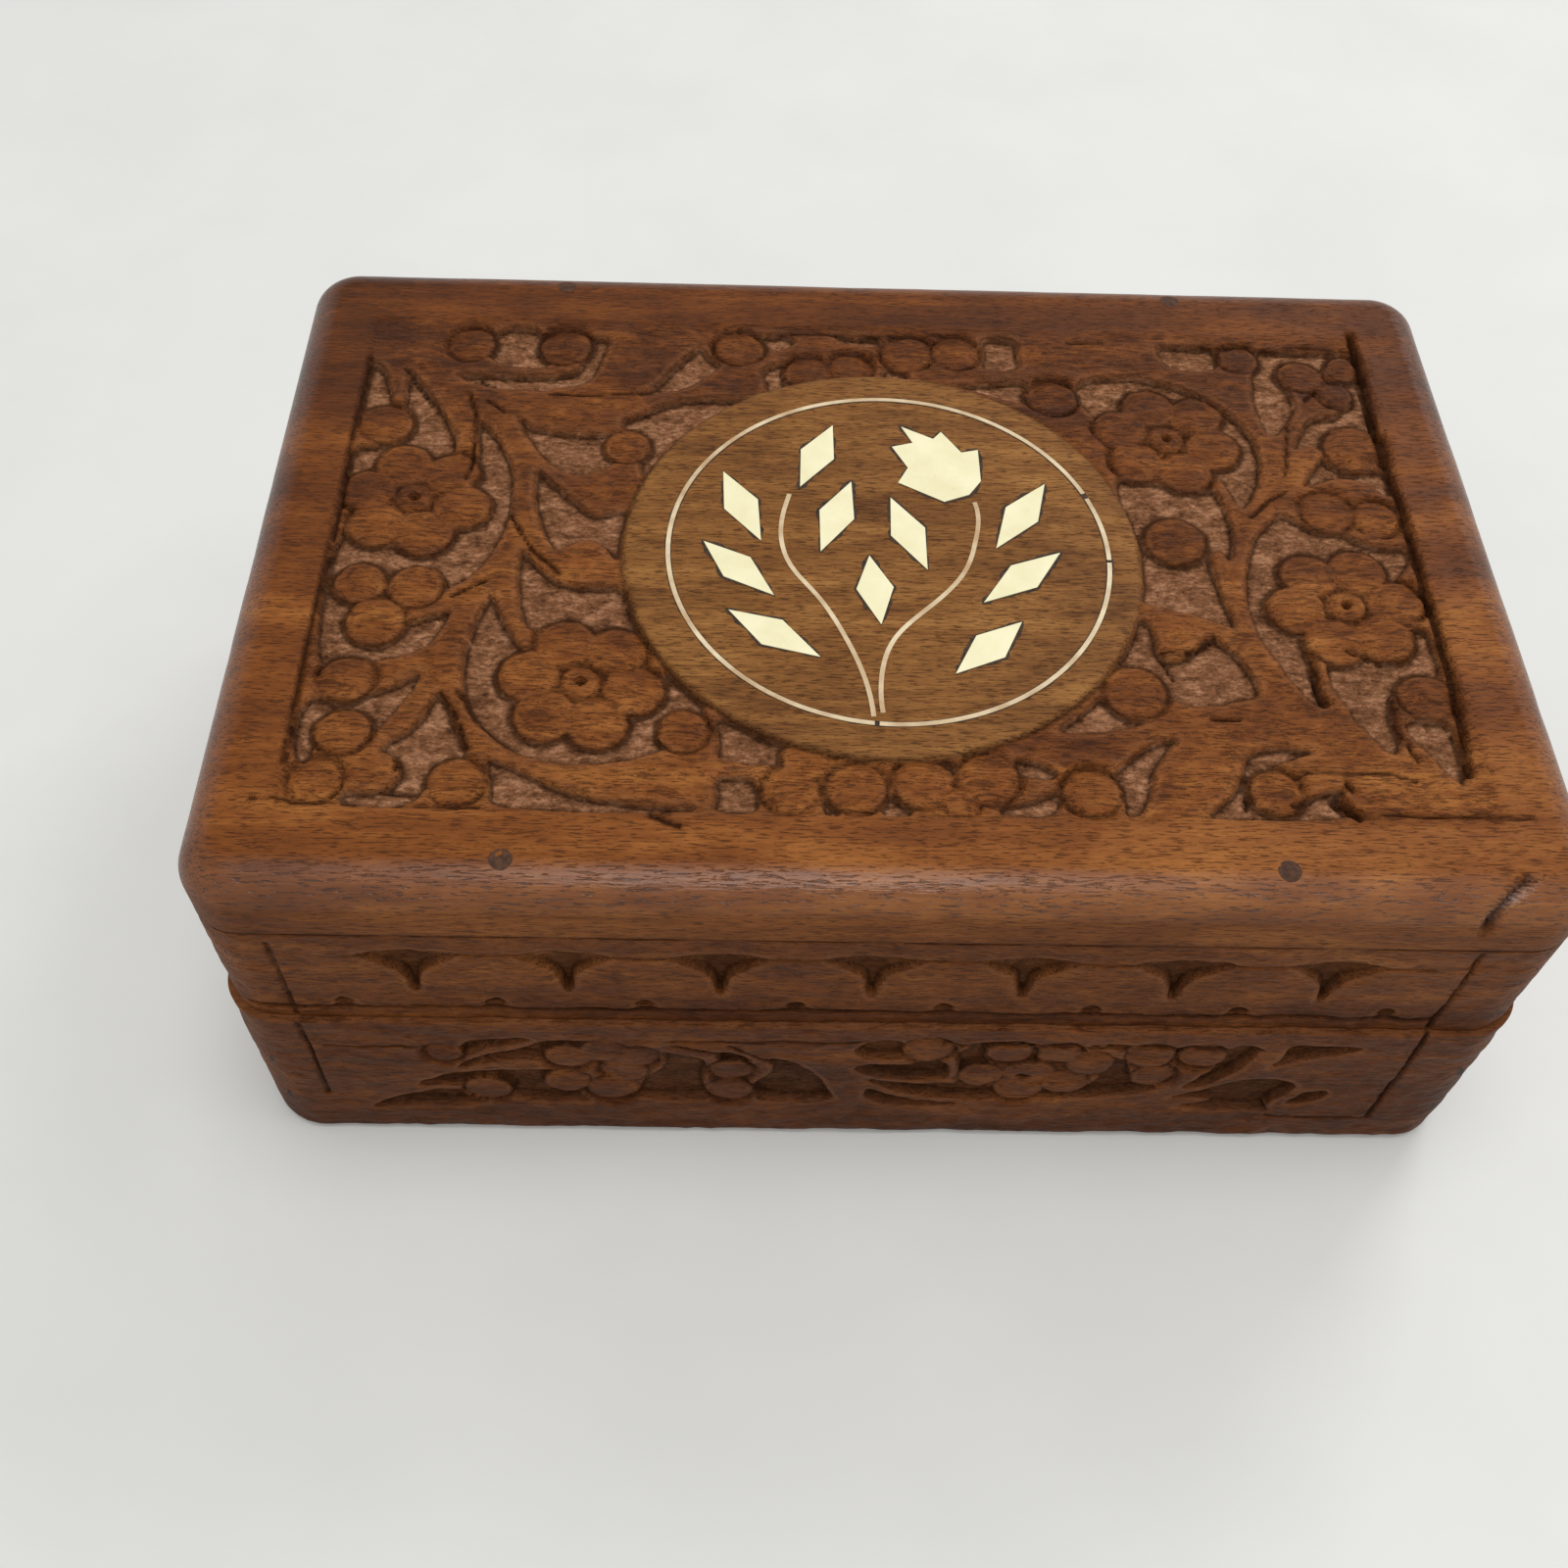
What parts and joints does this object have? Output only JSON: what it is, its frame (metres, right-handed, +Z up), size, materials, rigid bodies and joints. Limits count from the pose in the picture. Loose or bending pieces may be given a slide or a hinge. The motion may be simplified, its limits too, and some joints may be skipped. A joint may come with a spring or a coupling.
{
  "type": "carved wooden keepsake box",
  "caption": "Small hinged wooden box with carved floral panels, a scalloped lid band and a round medallion inlaid with a cream plant in a ring.",
  "frame": {"origin": "middle of the underside, on the table", "axes": "+X to the right seen from the front, +Y towards the hinged back, +Z up"},
  "size_m": [0.152, 0.102, 0.0571],
  "materials": {
    "carved_wood": "stained reddish brown hardwood, waxed and handled, rougher in the carving",
    "top_wood": "the same stained hardwood, with a paler yellow medallion where the stain is sanded off",
    "panel_wood": "plain unstained hardwood panel",
    "peg_wood": "dark hardwood pegs",
    "inlay": "cream strip and sheet, sanded flush, with dark filler round it",
    "brass": "dulled brass",
    "iron": "dark iron wire, a little rusted"
  },
  "bodies": {
    "base": {"base_front": "carved_wood", "base_back": "carved_wood", "base_left_end": "carved_wood", "base_right_end": "carved_wood", "base_bottom_panel": "panel_wood", "base_corner_brads": "iron", "bottom_brads": "iron", "hinge_left_base_leaf": "brass", "hinge_right_base_leaf": "brass", "hinge_base_screws": "brass", "hinge_left_pin": "iron", "hinge_right_pin": "iron"},
    "lid": {"lid_top_board": "top_wood", "lid_front_rail": "carved_wood", "lid_back_rail": "carved_wood", "lid_left_rail": "carved_wood", "lid_right_rail": "carved_wood", "top_pegs": "peg_wood", "lid_corner_brads": "iron", "hinge_left_lid_leaf": "brass", "hinge_right_lid_leaf": "brass", "hinge_lid_screws": "brass", "inlay_ring_long": "inlay", "inlay_ring_short": "inlay", "inlay_ring_lower": "inlay", "inlay_stem_left": "inlay", "inlay_stem_right": "inlay", "inlay_leaf_01": "inlay", "inlay_leaf_02": "inlay", "inlay_leaf_03": "inlay", "inlay_leaf_04": "inlay", "inlay_leaf_05": "inlay", "inlay_leaf_06": "inlay", "inlay_leaf_07": "inlay", "inlay_leaf_08": "inlay", "inlay_leaf_09": "inlay", "inlay_leaf_10": "inlay", "inlay_flower": "inlay"}
  },
  "joints": [
    {"name": "lid_hinge", "type": "hinge", "parent": "base", "child": "lid", "pos_m": [0, 0.0485, 0.0292], "axis": [-1, 0, 0], "range_deg": [0, 100]}
  ]
}
